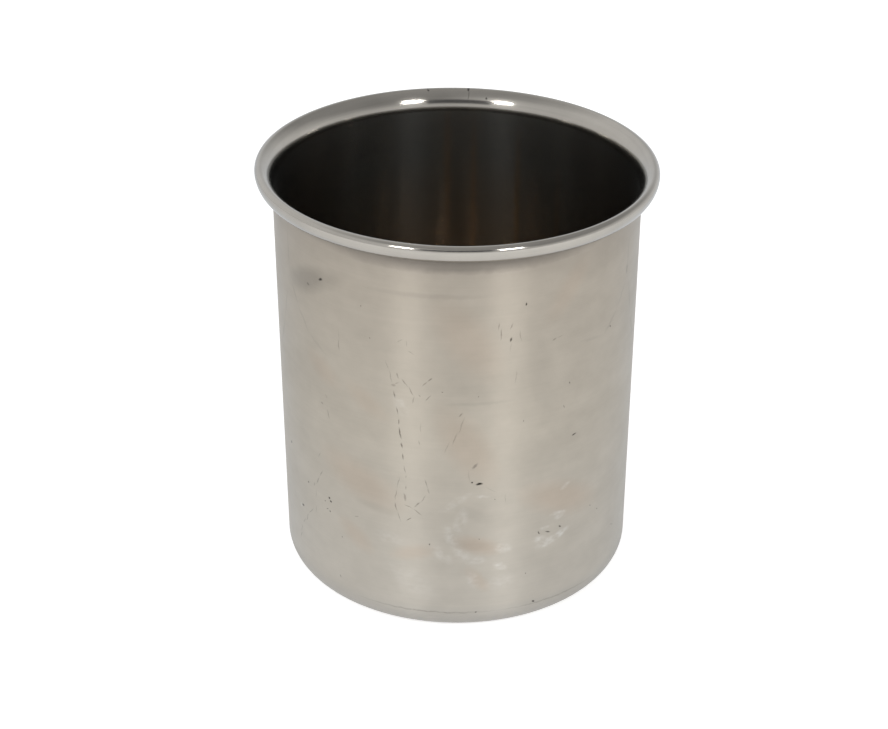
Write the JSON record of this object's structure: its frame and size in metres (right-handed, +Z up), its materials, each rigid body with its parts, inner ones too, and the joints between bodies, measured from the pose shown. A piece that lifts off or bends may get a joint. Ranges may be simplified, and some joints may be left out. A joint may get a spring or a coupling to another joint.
{
  "type": "deep drawn metal cup",
  "caption": "Straight-walled cup drawn from one metal sheet, with a flat floor, a small bottom radius and a rim flared outward and rolled down to the wall.",
  "frame": {"origin": "centre of the floor's underside, on the cup's axis", "axes": "+Z up along the cup's axis; the cup is round, so X and Y are any level pair"},
  "size_m": [0.1136, 0.1136, 0.1253],
  "materials": {
    "stainless": "polished stainless steel sheet, finely scratched and smudged from use"
  },
  "bodies": {
    "root": {"cup": "stainless"}
  },
  "joints": []
}
